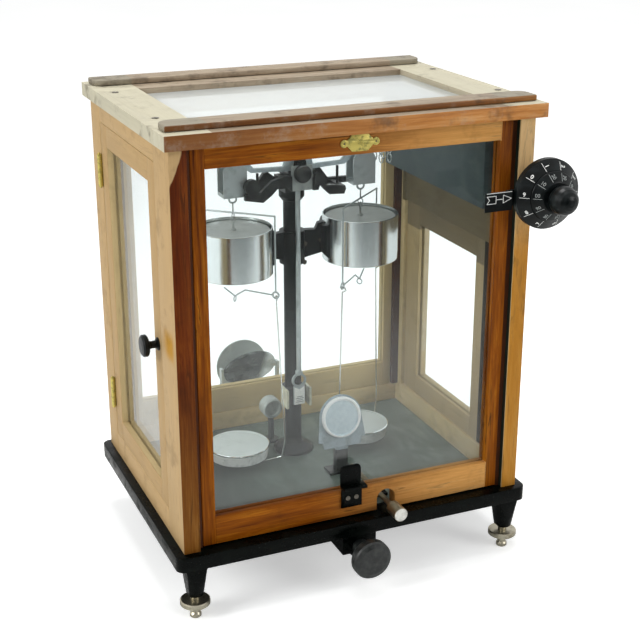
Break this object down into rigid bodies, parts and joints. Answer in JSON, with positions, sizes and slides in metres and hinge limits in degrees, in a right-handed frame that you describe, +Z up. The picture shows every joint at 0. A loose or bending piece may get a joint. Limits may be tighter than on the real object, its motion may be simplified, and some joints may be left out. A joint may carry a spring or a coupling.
{
  "type": "laboratory balance",
  "caption": "Two-pan analytical balance in a glazed wooden case with sliding sashes, side doors, air dampers, a weight dial, an arrest knob and levelling feet.",
  "frame": {"origin": "on the surface the feet stand on, below the middle of the part's box", "axes": "+Z up, +X to the right seen from the front, +Y to the back"},
  "size_m": [0.426, 0.4252, 0.5048],
  "materials": {
    "black_enamel": "gloss",
    "slate": "satin",
    "case_wood": "satin varnish",
    "door_wood": "worn varnish",
    "lid_wood": "weathered",
    "black_trim": "matte",
    "clear_glass": "polished",
    "steel": "satin",
    "brass": "aged",
    "aluminium": "satin",
    "grey_paint": "satin",
    "dark_sheet": "satin",
    "white_paint": "gloss",
    "nickel": "satin",
    "black_knob": "gloss",
    "mirror": "polished"
  },
  "bodies": {
    "case": {"base_plate": "black_enamel", "base_legs": "black_enamel", "floor_slate": "slate", "corner_posts": "case_wood", "case_rails": "case_wood", "sash_guides": "black_trim", "lid_frame": "lid_wood", "lid_glass": "clear_glass", "fixing_screws": "steel", "hinge_leaves": "brass", "pillar": "black_enamel", "pillar_head": "black_enamel", "bearing_cover": "grey_paint", "damper_brackets": "black_enamel", "damper_cups": "aluminium", "screen_stand": "grey_paint", "screen": "white_paint", "optical_carrier": "nickel", "condenser": "grey_paint", "arrest_bearings": "black_enamel", "dial_bearing": "black_enamel", "index_plate": "black_enamel", "mechanism_cover": "dark_sheet", "ring_weight_loader": "steel", "mirror_bracket": "grey_paint", "zero_bearing": "black_enamel"},
    "front_sash": {"front_sash_frame": "case_wood", "front_sash_glass": "clear_glass", "front_sash_cap": "lid_wood", "finger_lift": "black_enamel", "name_plate": "brass", "sash_screws": "steel"},
    "rear_sash": {"rear_sash_frame": "case_wood", "rear_sash_glass": "clear_glass", "rear_sash_cap": "lid_wood"},
    "left_door": {"left_door_frame": "door_wood", "left_door_glass": "clear_glass", "left_door_knob": "black_knob", "left_door_leaves": "brass"},
    "right_door": {"right_door_frame": "case_wood", "right_door_glass": "clear_glass", "right_door_knob": "black_knob", "right_door_leaves": "brass"},
    "left_foot": {"left_foot_screw": "nickel"},
    "right_foot": {"right_foot_screw": "nickel"},
    "arrest_control": {"arrest_knob": "black_knob"},
    "lifting_gear": {"arrest_arms": "black_enamel", "pan_stops": "steel"},
    "beam_assembly": {"beam": "aluminium", "pointer": "nickel"},
    "left_suspension": {"left_hanger": "steel", "left_damper_bell": "aluminium"},
    "left_weighing_pan": {"left_pan": "nickel"},
    "right_suspension": {"right_hanger": "steel", "right_damper_bell": "aluminium"},
    "right_weighing_pan": {"right_pan": "nickel"},
    "hundreds_control": {"hundreds_dial": "black_knob"},
    "tens_control": {"tens_dial": "black_knob"},
    "zero_control": {"zero_knob": "nickel"},
    "tilting_mirror": {"rear_mirror": "mirror"}
  },
  "joints": [
    {"name": "front_sash_slide", "type": "slide", "parent": "case", "child": "front_sash", "axis": [0, 0, 1], "range_m": [0, 0.32]},
    {"name": "rear_sash_slide", "type": "slide", "parent": "case", "child": "rear_sash", "axis": [0, 0, 1], "range_m": [0, 0.3]},
    {"name": "left_door_hinge", "type": "hinge", "parent": "case", "child": "left_door", "pos_m": [-0.1976, 0.11609, 0.28], "axis": [0, 0, -1], "range_deg": [0, 110]},
    {"name": "right_door_hinge", "type": "hinge", "parent": "case", "child": "right_door", "pos_m": [0.1876, 0.11609, 0.22], "axis": [0, 0, 1], "range_deg": [0, 110]},
    {"name": "left_foot_turn", "type": "hinge", "parent": "case", "child": "left_foot", "pos_m": [-0.1845, -0.12531, 0.02], "axis": [0, 0, 1], "continuous": true},
    {"name": "right_foot_turn", "type": "hinge", "parent": "case", "child": "right_foot", "pos_m": [0.1745, -0.12531, 0.02], "axis": [0, 0, 1], "continuous": true},
    {"name": "arrest_knob_turn", "type": "hinge", "parent": "case", "child": "arrest_control", "pos_m": [-0.005, -0.14981, 0.044], "axis": [0, 1, 0], "range_deg": [0, 90]},
    {"name": "lifting_gear_slide", "type": "slide", "parent": "case", "child": "lifting_gear", "axis": [0, 0, 1], "range_m": [-0.003, 0]},
    {"name": "beam_swing", "type": "hinge", "parent": "case", "child": "beam_assembly", "pos_m": [-0.005, 0.03119, 0.428], "axis": [0, 1, 0], "range_deg": [-1.1, 1.1]},
    {"name": "left_suspension_swing", "type": "hinge", "parent": "beam_assembly", "child": "left_suspension", "pos_m": [-0.079, 0.03119, 0.428], "axis": [0, 1, 0], "range_deg": [-1.2, 1.2]},
    {"name": "right_suspension_swing", "type": "hinge", "parent": "beam_assembly", "child": "right_suspension", "pos_m": [0.069, 0.03119, 0.428], "axis": [0, 1, 0], "range_deg": [-1.2, 1.2]},
    {"name": "left_pan_swing", "type": "hinge", "parent": "left_suspension", "child": "left_weighing_pan", "pos_m": [-0.079, 0.03119, 0.2848], "axis": [0.7431, -0.6691, 0], "range_deg": [-2, 2]},
    {"name": "right_pan_swing", "type": "hinge", "parent": "right_suspension", "child": "right_weighing_pan", "pos_m": [0.069, 0.03119, 0.2848], "axis": [-0.7431, -0.6691, 0], "range_deg": [-2, 2]},
    {"name": "hundreds_dial_turn", "type": "hinge", "parent": "case", "child": "hundreds_control", "pos_m": [0.1775, -0.17881, 0.415], "axis": [0, 1, 0], "continuous": true},
    {"name": "tens_dial_turn", "type": "hinge", "parent": "case", "child": "tens_control", "pos_m": [0.1775, -0.18881, 0.415], "axis": [0, 1, 0], "continuous": true},
    {"name": "zero_knob_turn", "type": "hinge", "parent": "case", "child": "zero_control", "pos_m": [0.03, -0.14781, 0.086], "axis": [0, 1, 0], "range_deg": [-170, 170]},
    {"name": "mirror_tilt", "type": "hinge", "parent": "case", "child": "tilting_mirror", "pos_m": [-0.009, 0.18219, 0.128], "axis": [1, 0, 0], "range_deg": [-12, 12]}
  ],
  "couplings": [
    {"joint": "arrest_knob_turn", "follows": "lifting_gear_slide", "rad_per_m": -523.59},
    {"joint": "left_suspension_swing", "follows": "beam_swing", "ratio": -1},
    {"joint": "right_suspension_swing", "follows": "beam_swing", "ratio": -1}
  ]
}
